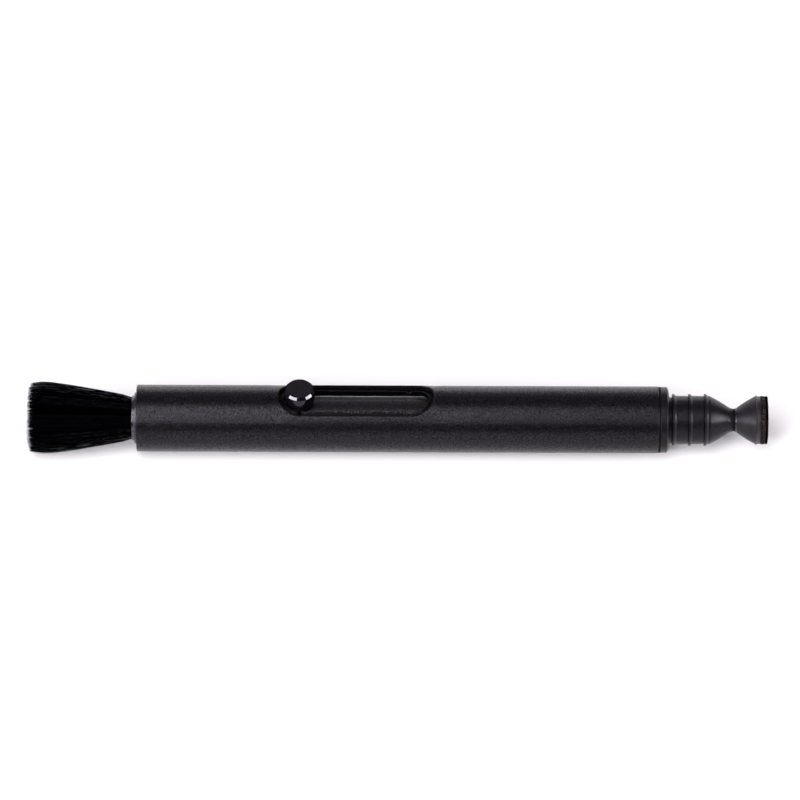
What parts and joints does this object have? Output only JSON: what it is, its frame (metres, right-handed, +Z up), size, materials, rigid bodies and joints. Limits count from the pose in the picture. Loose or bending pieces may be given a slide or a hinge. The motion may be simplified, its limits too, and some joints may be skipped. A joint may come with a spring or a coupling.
{
  "type": "lens cleaning pen",
  "caption": "Double-ended lens cleaning pen: black barrel with a thumb knob that slides a soft brush out of one end, and a swivelling round cleaning pad at the other",
  "frame": {"origin": "middle of the pen's length and width, on the surface it lies on, with the brush out", "axes": "+X along the pen from the brush to the cleaning pad, +Z up through the thumb knob, +Y completes the right-handed frame"},
  "size_m": [0.1442, 0.0138, 0.0147],
  "materials": {
    "barrel": "bead-blasted, black anodised",
    "moulded": "moulded black, satin",
    "polished": "polished black",
    "ferrule": "thin drawn tube, blackened, bright at the cut lip",
    "bristle": "soft black hair",
    "resin": "set glue",
    "rubber": "moulded, soft matte",
    "brass": "turned",
    "steel": "drawn, lightly oiled",
    "felt": "dense brown suede",
    "carbon": "matt carbon coating, slightly fuzzy",
    "tape": "double-sided adhesive film"
  },
  "bodies": {
    "barrel": {"barrel_tube": "barrel", "guide_sleeve": "moulded", "mouth_ring": "moulded", "end_gasket": "rubber", "tip_holder": "moulded"},
    "brush_slider": {"brush_ferrule": "ferrule", "bristles": "bristle", "bristle_root_plug": "resin", "slider_carrier": "moulded", "drag_ring": "rubber", "knob_insert": "brass", "thumb_knob": "polished", "detent_wire": "steel"},
    "head_stud": {"ball_stud": "steel", "stud_clip": "steel"},
    "cleaning_head": {"head_cup": "rubber", "pad_tape": "tape", "pad_cushion": "felt", "pad_face": "carbon"}
  },
  "joints": [
    {"name": "brush_slide", "type": "slide", "parent": "barrel", "child": "brush_slider", "axis": [1, 0, 0], "range_m": [0, 0.0212], "deforming": ["bristles", "detent_wire"]},
    {"name": "head_spin", "type": "hinge", "parent": "barrel", "child": "head_stud", "pos_m": [0.0656, 0, 0.00647], "axis": [1, 0, 0], "continuous": true},
    {"name": "head_tilt", "type": "hinge", "parent": "head_stud", "child": "cleaning_head", "pos_m": [0.0656, 0, 0.00647], "axis": [0, 1, 0], "range_deg": [-10, 10]}
  ]
}
